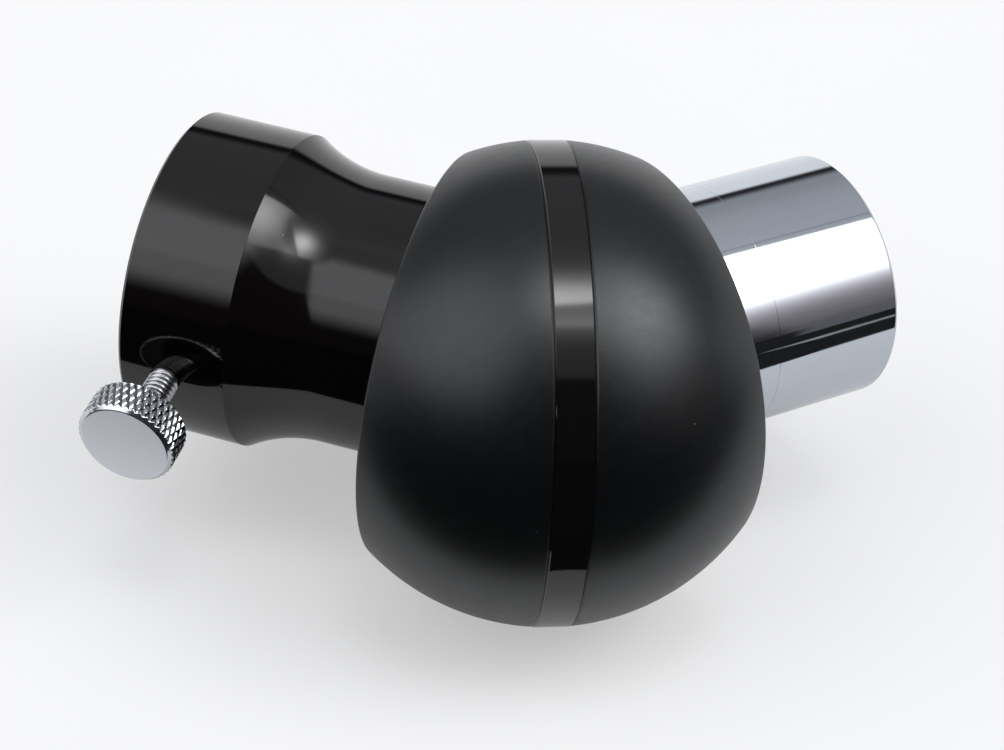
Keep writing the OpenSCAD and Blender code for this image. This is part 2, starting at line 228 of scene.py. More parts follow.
class Graph:
    """Short names for making shader nodes."""

    def __init__(self, tree):
        self.tree = tree
        tree.nodes.clear()

    def node(self, kind, out=0, props=None, **inputs):
        """A node's output. Inputs go by name, with _ for a space, or by number as i0, i1 and so on."""
        n = self.tree.nodes.new(kind)
        for k, v in (props or {}).items():
            setattr(n, k, v)
        for k, v in inputs.items():
            by_number = k[0] == "i" and k[1:].isdigit()
            self.put(n.inputs[int(k[1:]) if by_number else k.replace("_", " ")], v)
        return n.outputs[out]

    def put(self, socket, v):
        if isinstance(v, bpy.types.NodeSocket):
            self.tree.links.new(v, socket)
        else:
            socket.default_value = v

    def math(self, op, a, b=0.0):
        return self.node("ShaderNodeMath", props={"operation": op}, i0=a, i1=b)

    def product(self, first, *others):
        for v in others:
            first = self.math("MULTIPLY", first, v)
        return first

    def total(self, first, *others):
        for v in others:
            first = self.math("ADD", first, v)
        return first

    def vector(self, op, a, b, out=0):
        return self.node("ShaderNodeVectorMath", out=out, props={"operation": op}, i0=a, i1=b)

    def dot(self, a, b):
        return self.vector("DOT_PRODUCT", a, b, out=1)

    def scaled(self, vector, by):
        return self.node("ShaderNodeVectorMath", props={"operation": "SCALE"}, i0=vector, Scale=by)

    def smooth(self, x, low, high, a=0.0, b=1.0):
        return self.node("ShaderNodeMapRange", props={"interpolation_type": "SMOOTHSTEP"},
                         i0=x, i1=low, i2=high, i3=a, i4=b)

    def remap(self, x, low, high, a=0.0, b=1.0):
        return self.node("ShaderNodeMapRange", i0=x, i1=low, i2=high, i3=a, i4=b)

    def place(self):
        return self.node("ShaderNodeTexCoord", out=3)

    def noise(self, where, scale, detail=2.0, rough=0.5):
        return self.node("ShaderNodeTexNoise", Vector=where, Scale=scale, Detail=detail, Roughness=rough)

    def rings(self, along, scale, detail=2.0):
        """Noise in one dimension, for turning marks."""
        return self.node("ShaderNodeTexNoise", props={"noise_dimensions": "1D"},
                         W=along, Scale=scale, Detail=detail)

    def bump(self, height, distance, strength=1.0):
        return self.node("ShaderNodeBump", Height=height, Distance=distance, Strength=strength)

    def mix(self, factor, a, b):
        n = self.tree.nodes.new("ShaderNodeMix")
        n.data_type = "RGBA"
        self.put(n.inputs[0], factor)
        self.put(n.inputs[6], a)
        self.put(n.inputs[7], b)
        return n.outputs[2]

    def voronoi(self, where, scale):
        return self.node("ShaderNodeTexVoronoi", Vector=where, Scale=scale).node

    def specks(self, where, cell, size, share):
        """1 on sparse round specks: a share of the cells of a Voronoi pattern holds one."""
        cells = self.voronoi(where, 1 / cell)
        pick = self.node("ShaderNodeSeparateColor", Color=cells.outputs["Color"])
        near = self.smooth(cells.outputs["Distance"], size, size * 0.4)
        return self.product(near, self.math("LESS_THAN", pick, share))


def shader(name, **sockets):
    """A material with one Principled shader, its plain sockets set. Returns (material, graph, shader)."""
    mat = bpy.data.materials.new(name)
    mat.use_nodes = True
    g = Graph(mat.node_tree)
    s = mat.node_tree.nodes.new("ShaderNodeBsdfPrincipled")
    out = mat.node_tree.nodes.new("ShaderNodeOutputMaterial")
    mat.node_tree.links.new(s.outputs[0], out.inputs[0])
    for k, v in sockets.items():
        s.inputs[k.replace("_", " ")].default_value = v
    return mat, g, s


def rgb(r, g, b):
    return (r, g, b, 1.0)


# ---------------------------------------------------------------- materials


def satin_black():
    """Fine-blasted black anodising with a little dust."""
    mat, g, s = shader("satin_black_anodised", Specular_IOR_Level=0.5, Specular_Tint=rgb(0.95, 0.99, 1.0))
    w = g.place()
    dust = g.specks(w, 1.6 * MM, 0.055, 0.10)
    tone = g.mix(g.noise(w, 120.0, 3.0), rgb(0.0006, 0.0010, 0.0014), rgb(0.0014, 0.0018, 0.0024))
    g.put(s.inputs["Base Color"], g.mix(dust, tone, rgb(0.16, 0.16, 0.17)))
    g.put(s.inputs["Roughness"], g.remap(g.noise(w, 900.0, 3.0), 0.3, 0.7, 0.31, 0.36))
    g.put(s.inputs["Normal"], g.bump(g.noise(w, 5200.0, 2.0, 0.6), 9.5 * MICRON))
    return mat


def gloss_black(name, axis_point, axis, tint):
    """Polished black anodising with dust and faint turning rings square to axis."""
    mat, g, s = shader(name, Specular_IOR_Level=0.5)
    w = g.place()
    along = g.dot(g.vector("SUBTRACT", w, tuple(axis_point)), tuple(axis))
    dust = g.specks(w, 2.6 * MM, 0.045, 0.10)
    polish = g.remap(g.noise(w, 160.0, 4.0, 0.6), 0.35, 0.75, 0.045, 0.085)
    g.put(s.inputs["Base Color"], g.mix(dust, rgb(*tint), rgb(0.13, 0.13, 0.135)))
    g.put(s.inputs["Roughness"], g.total(polish, g.product(dust, 0.4)))
    g.put(s.inputs["Normal"], g.bump(g.rings(along, 9000.0), 0.6 * MICRON, 0.5))
    return mat


def chrome():
    """Polished plate with faint turning rings square to the nosepiece, which runs along X."""
    mat, g, s = shader("polished_chrome", Metallic=1.0)
    w = g.place()
    x = g.node("ShaderNodeSeparateXYZ", Vector=w)
    plate = g.mix(g.noise(w, 90.0, 3.0), rgb(0.585, 0.630, 0.690), rgb(0.615, 0.655, 0.710))
    g.put(s.inputs["Base Color"], plate)
    g.put(s.inputs["Roughness"], g.remap(g.noise(w, 240.0, 4.0, 0.6), 0.35, 0.75, 0.035, 0.07))
    g.put(s.inputs["Normal"], g.bump(g.rings(x, 7000.0, 3.0), 0.8 * MICRON, 0.5))
    return mat


def knob_chrome():
    """Bright plate, with painted shade in the knurl's roots and underneath, satin with fine turning rings on its
    face.
    """
    mat, g, s = shader("knob_chrome_plate", Metallic=1.0)
    w = g.place()
    offset = g.vector("SUBTRACT", w, tuple(screw_base))
    height = g.dot(offset, tuple(screw_out))
    radial = g.vector("SUBTRACT", offset, g.scaled(tuple(screw_out), height))
    dist = g.node("ShaderNodeVectorMath", out=1, props={"operation": "LENGTH"}, i0=radial)
    turned = g.rings(dist, 5000.0)
    cloud = g.noise(w, 300.0, 3.0)

    on_face = g.math("GREATER_THAN", height, (KNOB_TOP - 0.01) * MM)
    # painted shade: the knob's underside, facing the holder, is coloured near black
    painted_underside_shade = g.math("LESS_THAN", height, (KNOB_AT + 0.2) * MM)
    on_side = g.product(g.math("LESS_THAN", height, (KNOB_TOP - KNOB_CHAMFER) * MM),
                        g.math("GREATER_THAN", height, (KNOB_AT + KNOB_CHAMFER) * MM))
    # painted shade: the knurl's grooves are coloured dark grey
    painted_groove_shade = g.product(g.smooth(dist, (KNOB_R - 0.1) * MM, (KNOB_R - KNURL_DEPTH) * MM), on_side)

    bright = g.mix(cloud, rgb(0.58, 0.605, 0.64), rgb(0.64, 0.665, 0.70))
    satin = g.mix(g.smooth(turned, 0.3, 0.7), rgb(0.755, 0.785, 0.83), rgb(0.77, 0.80, 0.845))
    # painted shade goes in here: dark grey in the knurl's grooves, near black underneath
    plate = g.mix(painted_groove_shade, g.mix(on_face, bright, satin), rgb(0.16, 0.17, 0.18))
    worn = g.remap(cloud, 0.3, 0.7, 0.10, 0.15)
    g.put(s.inputs["Base Color"], g.mix(painted_underside_shade, plate, rgb(0.05, 0.05, 0.055)))
    g.put(s.inputs["Metallic"], g.remap(on_face, 0.0, 1.0, 1.0, 0.35))
    g.put(s.inputs["Roughness"], g.mix(on_face, worn, g.remap(cloud, 0.2, 0.8, 0.28, 0.30)))
    g.put(s.inputs["Normal"], g.bump(turned, 0.2 * MICRON, 0.3))
    return mat


def metal(name, dark, light, rough, grain=1800.0, depth=2.0):
    """Bare metal. depth is the grain's height in microns."""
    mat, g, s = shader(name, Metallic=1.0)
    w = g.place()
    cloud = g.noise(w, grain / 6, 3.0)
    g.put(s.inputs["Base Color"], g.mix(cloud, rgb(*dark), rgb(*light)))
    g.put(s.inputs["Roughness"], g.remap(cloud, 0.3, 0.7, rough * 0.8, rough * 1.2))
    g.put(s.inputs["Normal"], g.bump(g.noise(w, grain, 3.0), depth * MICRON, 0.8))
    return mat


def dull(name, dark, light, rough, grain, depth, **extra):
    """A matte surface that isn't bare metal. depth is the grain's height in microns."""
    mat, g, s = shader(name, **extra)
    w = g.place()
    cloud = g.noise(w, grain / 3, 4.0, 0.6)
    g.put(s.inputs["Base Color"], g.mix(cloud, rgb(*dark), rgb(*light)))
    g.put(s.inputs["Roughness"], g.remap(cloud, 0.3, 0.7, rough * 0.88, min(1.0, rough * 1.1)))
    g.put(s.inputs["Normal"], g.bump(g.noise(w, grain, 3.0), depth * MICRON, 0.8))
    return mat


def cork():
    mat, g, s = shader("cork_agglomerate")
    cells = g.voronoi(g.place(), 1400.0)
    grain = g.node("ShaderNodeSeparateColor", Color=cells.outputs["Color"])
    g.put(s.inputs["Base Color"], g.mix(grain, rgb(0.19, 0.10, 0.045), rgb(0.46, 0.30, 0.16)))
    g.put(s.inputs["Roughness"], g.remap(grain, 0.0, 1.0, 0.8, 0.92))
    g.put(s.inputs["Normal"], g.bump(cells.outputs["Distance"], 80 * MICRON, 0.8))
    return mat


def prism_glass():
    mat, g, s = shader("coated_prism_glass", Transmission_Weight=1.0, IOR=1.517)
    w = g.place()
    g.put(s.inputs["Base Color"], g.mix(g.noise(w, 60.0), rgb(0.90, 0.97, 0.96), rgb(0.94, 0.98, 0.97)))
    g.put(s.inputs["Roughness"], g.remap(g.noise(w, 400.0, 3.0), 0.3, 0.7, 0.0, 0.015))
    return mat


look = {
    "satin_black": satin_black(),
    "gloss_black_band": gloss_black("gloss_black_band", centre, ball_x, (0.0022, 0.0020, 0.0020)),
    "gloss_black": gloss_black("gloss_black_holder", crossing, holder_axis, (0.0014, 0.0008, 0.0011)),
    "chrome": chrome(),
    "knob_chrome": knob_chrome(),
    "stud_steel": metal("stud_bright_steel", (0.44, 0.45, 0.47), (0.54, 0.55, 0.57), 0.24, 4000.0, 1.0),
    "raw_aluminium": metal("turned_aluminium", (0.50, 0.51, 0.53), (0.62, 0.63, 0.65), 0.33),
    "blackened_aluminium": dull("matte_blackened", (0.010, 0.010, 0.011), (0.020, 0.020, 0.022),
                                0.62, 2600.0, 6.0),
    "brass": metal("turned_brass", (0.50, 0.34, 0.12), (0.66, 0.47, 0.19), 0.3),
    "optical_glass": prism_glass(),
    "cork": cork(),
    "foam": dull("black_foam", (0.012, 0.012, 0.013), (0.03, 0.03, 0.032), 0.9, 3200.0, 50.0),
    "screw_steel": metal("zinc_plated_steel", (0.48, 0.49, 0.50), (0.60, 0.60, 0.61), 0.3, 2400.0),
    "nylon": dull("natural_nylon", (0.70, 0.68, 0.62), (0.78, 0.77, 0.72), 0.45, 1500.0, 5.0,
                  Subsurface_Weight=0.1),
}
for part in record["subparts"]:
    for material_slot in nodes[part["node"]].material_slots:
        material_slot.link = "OBJECT"
        material_slot.material = look[part["material_slot"]]

# ---------------------------------------------------------------- half shells

RIM_STEPS, BALL_STEPS, CAVITY_STEPS = 5, 44, 16
# shares of the way at which extra rings hold the shading flat, or close to an edge
FACE_GUARDS, SEAM_GUARD = (0.3, 0.97), 0.004


def circle(middle, e1, e2, r):
    angles = [TURN * i / BALL_SIDES for i in range(BALL_SIDES)]
    return [middle + (e1 * math.cos(a) + e2 * math.sin(a)) * r for a in angles]


def blend_rings(a, b, share):
    return [p.lerp(q, share) for p, q in zip(a, b)]


def arc_rings(a, b, radius, shares):
    """Rings on a sphere round the origin, between two rings on it."""
    return [[p.normalized().slerp(q.normalized(), s) * radius for p, q in zip(a, b)] for s in shares]


def shell(name, tube, face, side):
    """A half shell in the ball's frame: tube is the tube's direction, side is -1 or 1 along ball_x."""
    inward = (ball_y - tube * ball_y.dot(tube)).normalized()
    to_tube = inward * BALL_OFFSET * math.cos(HALF_BEND)

    def round_tube(height, r, offset=Vector()):
        return circle(tube * height + offset, inward, UP, r)

    def round_band(x, r):
        return circle(ball_x * side * x, ball_y, UP, r)

    # outside: the face with its hole, its rounded rim, and the sphere down to the chamfered seam
    rim_h = face - RIM_FILLET
    rim_r = math.sqrt((BALL_R - RIM_FILLET) ** 2 - rim_h ** 2)
    hole = round_tube(face, HOLE_R, to_tube)
    flat_rim = round_tube(face, rim_r)
    rings = [hole] + [blend_rings(hole, flat_rim, share) for share in FACE_GUARDS] + [flat_rim]
    for a in steps_between(math.pi / 2, math.atan2(rim_h, rim_r), RIM_STEPS)[1:]:
        rings.append(round_tube(rim_h + RIM_FILLET * math.sin(a), rim_r + RIM_FILLET * math.cos(a)))
    seam_x = BAND_W / 2 + SEAM
    seam = round_band(seam_x, math.sqrt(BALL_R ** 2 - seam_x ** 2))
    shares = [SEAM_GUARD] + steps_between(0, 1, BALL_STEPS)[1:-1] + [1 - SEAM_GUARD, 1.0]
    rings += arc_rings(rings[-1], seam, BALL_R, shares)

    # inside: the step over the band's lip, the cavity, and back to the hole
    half = BAND_W / 2
    lip_end = half + BAND_LIP + LIP_GAP
    rings += [round_band(half, BALL_R - SEAM), round_band(half, CAVITY_R), round_band(lip_end, CAVITY_R)]
    cavity = round_band(lip_end, math.sqrt(CAVITY_R ** 2 - lip_end ** 2))
    floor_h = face - END_WALL
    flat_in = round_tube(floor_h, math.sqrt(CAVITY_R ** 2 - floor_h ** 2))
    rings += arc_rings(cavity, flat_in, CAVITY_R, steps_between(0, 1, CAVITY_STEPS))
    rings.append(round_tube(floor_h, HOLE_R, to_tube))

    to_row = Matrix.Translation(centre) @ Matrix.Scale(MM, 4)
    verts, faces = skin([[to_row @ p for p in ring] for ring in rings])
    finish_mesh(name, verts, faces, "housing", name + "_shell", "satin_black", 20.0)


shell("nosepiece_side", nose_axis, NOSE_FACE, 1)
shell("eyepiece_side", holder_axis, HOLDER_FACE, -1)

# ---------------------------------------------------------------- eyepiece holder

BARREL_EDGE, MOUTH_EDGE = 0.45, 0.6
NECK_GUARD, BARREL_GUARD = 0.6, 0.8
WAIST_STEPS = 26


def spigot(base, bore_r):
    """The corners of a tube's threaded spigot, from its bore to where it meets the ball's flat."""
    spigot_end = base - END_WALL - LOCK_T
    return [(bore_r, spigot_end, EDGE), (SPIGOT_R, spigot_end, 0.2), (SPIGOT_R, base, 0)]


def holder_profile():
    waist_end = math.atan2(BARREL_CORNER - WAIST_START, NECK_R + WAIST_R - BARREL_R)
    waist = [(NECK_R + WAIST_R - WAIST_R * math.cos(a), WAIST_START + WAIST_R * math.sin(a), 0)
             for a in steps_between(0, waist_end, WAIST_STEPS)]
    waist[-1] = (BARREL_R, BARREL_CORNER, 0.09)
    neck = [(NECK_R, HOLDER_BASE, 0.08), (NECK_R, WAIST_START - NECK_GUARD, 0)]
    barrel = [(BARREL_R, BARREL_CORNER + BARREL_GUARD, 0), (BARREL_R, BARREL_END - BARREL_EDGE, SOFT),
              (BARREL_R - BARREL_EDGE, BARREL_END, EDGE)]
    mouth = [(EYEPIECE_R + MOUTH_EDGE, BARREL_END, EDGE), (EYEPIECE_R, BARREL_END - MOUTH_EDGE, EDGE)]
    low, high = SCREW_AT - GROOVE_W / 2, SCREW_AT + GROOVE_W / 2
    groove = [(EYEPIECE_R, high, FINE), (GROOVE_R, high, FINE),
              (GROOVE_R, low, FINE), (EYEPIECE_R, low, FINE)]
    bore_end = BARREL_END - EYEPIECE_DEPTH
    step = [(EYEPIECE_R, bore_end, EDGE), (LIGHT_R, bore_end, SOFT)]
    return rounded(spigot(HOLDER_BASE, LIGHT_R) + neck + waist + barrel + mouth + groove + step)


def cut(obj, cutter_rings):
    """Cuts a closed solid, given as rings, out of obj."""
    verts, faces = skin(cutter_rings, closed=False)
    n = len(cutter_rings[0])
    faces += [tuple(reversed(range(n))), tuple(range(len(verts) - n, len(verts)))]
    mesh = bpy.data.meshes.new("cutter")
    mesh.from_pydata(verts, [], faces)
    cutter = bpy.data.objects.new("cutter", mesh)
    scene.collection.objects.link(cutter)
    mod = obj.modifiers.new("cut", "BOOLEAN")
    mod.operation, mod.solver, mod.object = "DIFFERENCE", "EXACT", cutter
    graph = bpy.context.evaluated_depsgraph_get()
    new = bpy.data.meshes.new_from_object(obj.evaluated_get(graph))
    obj.modifiers.clear()
    old = obj.data
    new.name = old.name + "_cut"
    obj.data = new
    bpy.data.objects.remove(cutter)
    bpy.data.meshes.remove(mesh)
    bpy.data.meshes.remove(old)


def barrel_normals(obj):
    """Exact normals on the holder's straight barrel, so that the screw hole leaves no ripple round it."""
    mesh = obj.data
    back = along_holder.inverted()
    turned = along_holder.to_3x3()
    near, past_corner = 0.05 * MM, (BARREL_CORNER + 0.25) * MM
    normals = [Vector(c.vector) for c in mesh.corner_normals]
    for poly in mesh.polygons:
        c = back @ poly.center
        if abs(math.hypot(c.x, c.y) - BARREL_R * MM) < near and c.z > past_corner:
            for i in poly.loop_indices:
                v = back @ mesh.vertices[mesh.loops[i].vertex_index].co
                normals[i] = (turned @ Vector((v.x, v.y, 0))).normalized()
    mesh.normals_split_custom_set(normals)


def eyepiece_holder():
    sharp = 32.0
    verts, faces = skin(lathe_rings(holder_profile(), along_holder, TUBE_SIDES))
    holder = finish_mesh("eyepiece_holder_body", verts, faces, "housing", "eyepiece_holder", "gloss_black",
                         sharp)
    screw_hole = [(SCREW_HOLE_R, EYEPIECE_R - 2), (SCREW_HOLE_R, BARREL_R + 3)]
    cut(holder, lathe_rings(screw_hole, at_screw, SCREW_SIDES))
    holder.data.set_sharp_from_angle(angle=math.radians(sharp))
    barrel_normals(holder)


eyepiece_holder()

# ---------------------------------------------------------------- nosepiece

NOSE_EDGE = 0.5
FILTER_FROM, FILTER_LEAD_IN, FILTER_CLEAR, FILTER_RUN_OUT = 0.4, 0.4, 0.2, 0.5
FILTER_ROWS = 80


def nose_profile():
    land = NOSE_END - NOSE_LAND
    relieved = NOSE_R - RELIEF
    filter_end = NOSE_END - FILTER_DEPTH
    outside = [(relieved, NOSE_BASE, FINE), (relieved, land - 0.01, 0), (NOSE_R, land, 0.015)]
    mouth = [(NOSE_R, NOSE_END - NOSE_EDGE, 0.25), (NOSE_R - NOSE_EDGE, NOSE_END, 0.2),
             (FILTER_R + 0.3, NOSE_END, 0.08)]
    thread = [(FILTER_R, z, 0) for z in steps_between(NOSE_END - 0.45, filter_end + 0.25, FILTER_ROWS)]
    step = [(FILTER_R, filter_end, FINE), (NOSE_BORE_R, filter_end, EDGE)]
    return rounded(spigot(NOSE_BASE, NOSE_BORE_R) + outside + mouth + thread + step)


def filter_thread(r, z, angle):
    """The 28.5 x 0.6 mm filter thread, cut into the bore's wall behind the mouth."""
    from_start = NOSE_END - z - FILTER_FROM
    to_end = FILTER_DEPTH - FILTER_CLEAR - (NOSE_END - z)
    if abs(r - FILTER_R) > 0.01 or from_start <= 0 or to_end <= 0:
        return r
    fade = min(1.0, from_start / FILTER_LEAD_IN, to_end / FILTER_RUN_OUT)
    height = 1.25 * ridge(z / FILTER_PITCH + angle / TURN) - 0.12
    return r + FILTER_CUT * fade * min(1.0, max(0.0, height))


verts, faces = skin(lathe_rings(nose_profile(), along_nose, TUBE_SIDES, filter_thread))
finish_mesh("nosepiece_tube_body", verts, faces, "housing", "nosepiece_tube", "chrome", 34.0)

# ---------------------------------------------------------------- thumbscrew

KNURL_ROWS, STUD_ROWS = 96, 130
SIDES_PER_KNURL = 10
DEEP_FLOOR, DEEP_WIDTH = 0.05, 0.64
CROSS_FLOOR, CROSS_WIDTH = 0.2, 0.75
STUD_RUN_OUT = 0.5


def knurl(angle, z):
    """Height of the knurl over its roots, 0 to 1: deep grooves one way, shallower ones across them."""
    u, v = KNURLS * angle / TURN, (z - KNOB_T / 2) / KNURL_PITCH
    deep = max(DEEP_FLOOR, ridge(u + v) / DEEP_WIDTH)
    cross = CROSS_FLOOR + ridge(u - v) / CROSS_WIDTH
    return min(1.0, deep, cross)


def knob_surface(r, z, angle):
    """The knurl on the knob's side, held inside its two chamfers."""
    local = z - KNOB_AT
    if r < KNOB_R - 1.5 * KNOB_CHAMFER - 0.01 or abs(local - KNOB_T / 2) > KNOB_T / 2 - 0.02:
        return r
    chamfer = KNOB_R - KNOB_CHAMFER + min(local, KNOB_T - local)
    return min(chamfer, KNOB_R - KNURL_DEPTH + KNURL_DEPTH * knurl(angle, local))


def knob_profile():
    rows = [KNOB_AT + 0.03] + steps_between(KNOB_AT + 0.1, KNOB_TOP - 0.1, KNURL_ROWS) + [KNOB_TOP - 0.03]
    side = [(KNOB_R, z, 0) for z in rows]
    bore = STUD_R + 0.01
    rim = KNOB_R - KNOB_CHAMFER
    face = [(r, KNOB_TOP, 0) for r in (rim - 0.08, rim - 0.3, 3.3, 1.6, 0)]
    seat = KNOB_AT + STUD_SEAT
    return rounded([(bore, KNOB_AT, FINE), (rim - 0.08, KNOB_AT, 0)] + side + face +
                   [(0, seat, 0), (bore, seat, 0)])


def stud_thread(r, z, angle):
    """The stud's M4 thread, running out at both ends."""
    if r < STUD_R - 0.01:
        return r
    fade = min(1.0, (z - STUD_TIP) / STUD_RUN_OUT, (KNOB_AT - 0.1 - z) / STUD_RUN_OUT)
    if fade <= 0:
        return r if z > KNOB_AT - 1 else STUD_ROOT + 0.05
    crest = min(1.0, max(0.0, 1.3 * ridge(z / STUD_PITCH - angle / TURN) - 0.15))
    return STUD_ROOT + (STUD_R - STUD_ROOT) * (crest * fade + (1 - fade) * 0.5)


def stud_profile():
    stem_end = STUD_TIP - STEM_LEN
    stem = [(0, stem_end), (STEM_R, stem_end), (STEM_R, STUD_TIP), (STUD_ROOT - 0.1, STUD_TIP)]
    thread = [(STUD_R, z) for z in steps_between(STUD_TIP + 0.25, KNOB_AT - 0.05, STUD_ROWS)]
    seat = KNOB_AT + STUD_SEAT
    return stem + thread + [(STUD_R, KNOB_AT), (STUD_R, seat - 0.1), (STUD_R - 0.1, seat), (0, seat)]


verts, faces = skin(lathe_rings(knob_profile(), at_screw, KNURLS * SIDES_PER_KNURL, knob_surface))
finish_mesh("thumbscrew_knurled_knob", verts, faces, "thumbscrew", "thumbscrew_knob", "knob_chrome", 50.0)
verts, faces = skin(lathe_rings(stud_profile(), at_screw, SCREW_SIDES, stud_thread), closed=False)
finish_mesh("thumbscrew_threaded_stud", verts, faces, "thumbscrew", "thumbscrew_stud", "stud_steel", 60.0)

# ---------------------------------------------------------------- camera

AZIMUTH, ELEVATION, ROLL = math.radians(-29.727), math.radians(39.836), math.radians(4.113)
DISTANCE, SHIFT_RIGHT, SHIFT_UP = 302.206, -4.905, -2.523
LENS, SENSOR = 86.748, 36.0
NEAR, FAR = 0.01, 20.0


def toward(azimuth, elevation):
    """The direction of a point in the sky, its angles in radians."""
    return Vector((math.sin(azimuth) * math.cos(elevation), -math.cos(azimuth) * math.cos(elevation),
                   math.sin(elevation)))


back = toward(AZIMUTH, ELEVATION)
level = UP.cross(back).normalized()
upright = back.cross(level)
right = level * math.cos(ROLL) + upright * math.sin(ROLL)
upward = upright * math.cos(ROLL) - level * math.sin(ROLL)
camera = bpy.data.objects.new("camera", bpy.data.cameras.new("camera"))
camera.data.lens, camera.data.sensor_width = LENS, SENSOR
camera.data.clip_start, camera.data.clip_end = NEAR, FAR
spot = crossing + (right * SHIFT_RIGHT + upward * SHIFT_UP + back * DISTANCE) * MM
camera.matrix_world = Matrix(((right.x, upward.x, back.x, spot.x), (right.y, upward.y, back.y, spot.y),
                              (right.z, upward.z, back.z, spot.z), (0, 0, 0, 1)))
scene.collection.objects.link(camera)
scene.camera = camera

# ---------------------------------------------------------------- floor

# the floor lies just under the part. It is square, and WIDE is half its side in metres
FLOOR_Z = cad_low.z - 0.4 * MM
WIDE = 4.0


def flat_sheet(name, corners, z, mat):
    mesh = bpy.data.meshes.new(name)
    mesh.from_pydata([(x, y, z) for x, y in corners], [], [tuple(range(len(corners)))])
    mesh.materials.append(mat)
    obj = bpy.data.objects.new(name, mesh)
    scene.collection.objects.link(obj)
    return obj


def paper():
    """Pale paper that glows a little: one strength for the camera, another for all other rays."""
    mat, g, s = shader("pale_paper", Emission_Color=rgb(1, 1, 1))
    w = g.place()
    seen = g.node("ShaderNodeLightPath", out=0)
    y = g.node("ShaderNodeSeparateXYZ", out=1, Vector=w)
    glare = g.smooth(y, 0.02, 0.12, 0.20, 0.40)
    tone = g.mix(g.noise(w, 30.0, 3.0), rgb(0.395, 0.397, 0.40), rgb(0.41, 0.412, 0.415))
    g.put(s.inputs["Emission Strength"], g.mix(seen, glare, rgb(0.42, 0.42, 0.42)))
    g.put(s.inputs["Base Color"], tone)
    g.put(s.inputs["Roughness"], g.remap(g.noise(w, 60.0), 0.3, 0.7, 0.85, 0.95))
    return mat


def painted_reflection_sheet(name, corners, height, dark, light, grain):
    """A sheet of painted reflection that only reflections show: the camera doesn't see it and it casts no shadow.
    Corners and height are in mm, from the crossing and the floor.
    """
    mat, g, s = shader(name, Specular_IOR_Level=0.0, Roughness=1.0)
    g.put(s.inputs["Base Color"], g.mix(g.noise(g.place(), grain), rgb(*dark), rgb(*light)))
    around = [(crossing.x + x * MM, crossing.y + y * MM) for x, y in corners]
    sheet = flat_sheet(name, around, FLOOR_Z + height * MM, mat)
    # painted reflection: hidden from the camera, from diffuse light and from shadows
    sheet.visible_camera = sheet.visible_diffuse = False
    sheet.visible_shadow = sheet.visible_transmission = False


flat_sheet("floor", [(-WIDE, -WIDE), (WIDE, -WIDE), (WIDE, WIDE), (-WIDE, WIDE)], FLOOR_Z, paper())

# painted reflections, seen only in reflections and casting no shadow: a black sheet in front of the part, then a
# grey strip and a dim sheet beside it
DARK_REFLECTION_EDGE = [(-300, 170), (-73.5, 0), (-17, -51), (73, -77), (600, -150)]
DARK_REFLECTION_OUTER = [(3500, -3900), (-3900, -3900), (-3900, 170)]
STRIP = [(107.3, -145), (107.3, -170), (160, -160), (160, -150)]
DIM_REFLECTION_CORNERS = [(215, -345), (340, -345), (3300, -3900), (2230, -3900)]
painted_reflection_sheet("painted_dark_reflection", DARK_REFLECTION_EDGE + DARK_REFLECTION_OUTER, 0.3, (0.010, 0.010, 0.010), (0.015, 0.015, 0.015), 50.0)
painted_reflection_sheet("painted_grey_reflection_strip", STRIP, 0.6, (0.27, 0.27, 0.27), (0.30, 0.30, 0.30), 50.0)
painted_reflection_sheet("painted_dim_reflection", DIM_REFLECTION_CORNERS, 0.6, (0.100, 0.098, 0.102), (0.115, 0.112, 0.117), 9.0)

# ---------------------------------------------------------------- studio light

# Everything below is a sky of soft lights. Angles are in degrees: bearings go round from azimuth 0,
# towards the camera's right, and lift is the height over the horizon.
world = bpy.data.worlds.new("studio")
world.use_nodes = True
scene.world = world
sky = Graph(world.node_tree)
direction = sky.node("ShaderNodeTexCoord", out=0)
lift = sky.math("DEGREES", sky.math("ARCSINE", sky.node("ShaderNodeSeparateXYZ", out=2, Vector=direction)))


def toward_sky(az, el):
    return toward(math.radians(az), math.radians(el))


def bearing(az):
    """How far round a direction lies from azimuth az."""
    across = sky.dot(direction, tuple(toward_sky(az + 90, 0)))
    ahead = sky.dot(direction, tuple(toward_sky(az, 0)))
    return sky.math("DEGREES", sky.math("ARCTAN2", across, ahead))


def glow(az, el, spread, strength):
    """A round soft light: strength at its middle, falling off over spread degrees."""
    miss = sky.math("SUBTRACT", 1.0, sky.dot(direction, tuple(toward_sky(az, el))))
    fall = sky.math("MULTIPLY", miss, -2 / math.radians(spread) ** 2)
    return sky.math("MULTIPLY", sky.math("EXPONENT", fall), strength)


def plane_side(first, second, inside):
    """How far a direction lies inside the plane through two directions, as a sine."""
    n = toward_sky(*first).cross(toward_sky(*second)).normalized()
    if n.dot(toward_sky(*inside)) < 0:
        n = -n
    return sky.dot(direction, tuple(n))


def room():
    """A dark room in front, a pale wall behind with a dark strip over it, and a grey ceiling."""
    ceiling = rgb(0.335, 0.345, 0.365)
    bright_ceiling = rgb(0.445, 0.455, 0.475)
    wall = sky.mix(sky.smooth(lift, 16.3, 21.0), rgb(0.93, 0.93, 0.945), rgb(0.030, 0.030, 0.034))
    high = sky.mix(sky.smooth(lift, 30.0, 56.0), ceiling, bright_ceiling)
    behind = sky.mix(sky.smooth(lift, 23.2, 31.0), wall, high)
    dark = sky.mix(sky.smooth(lift, 1.0, 7.0), rgb(0.008, 0.008, 0.008), rgb(0.040, 0.038, 0.042))
    ahead = sky.mix(sky.smooth(lift, 40.0, 44.0), dark, ceiling)
    from_front = sky.math("ABSOLUTE", bearing(-33.0))
    return sky.mix(sky.smooth(from_front, 90.0, 108.0), ahead, behind)


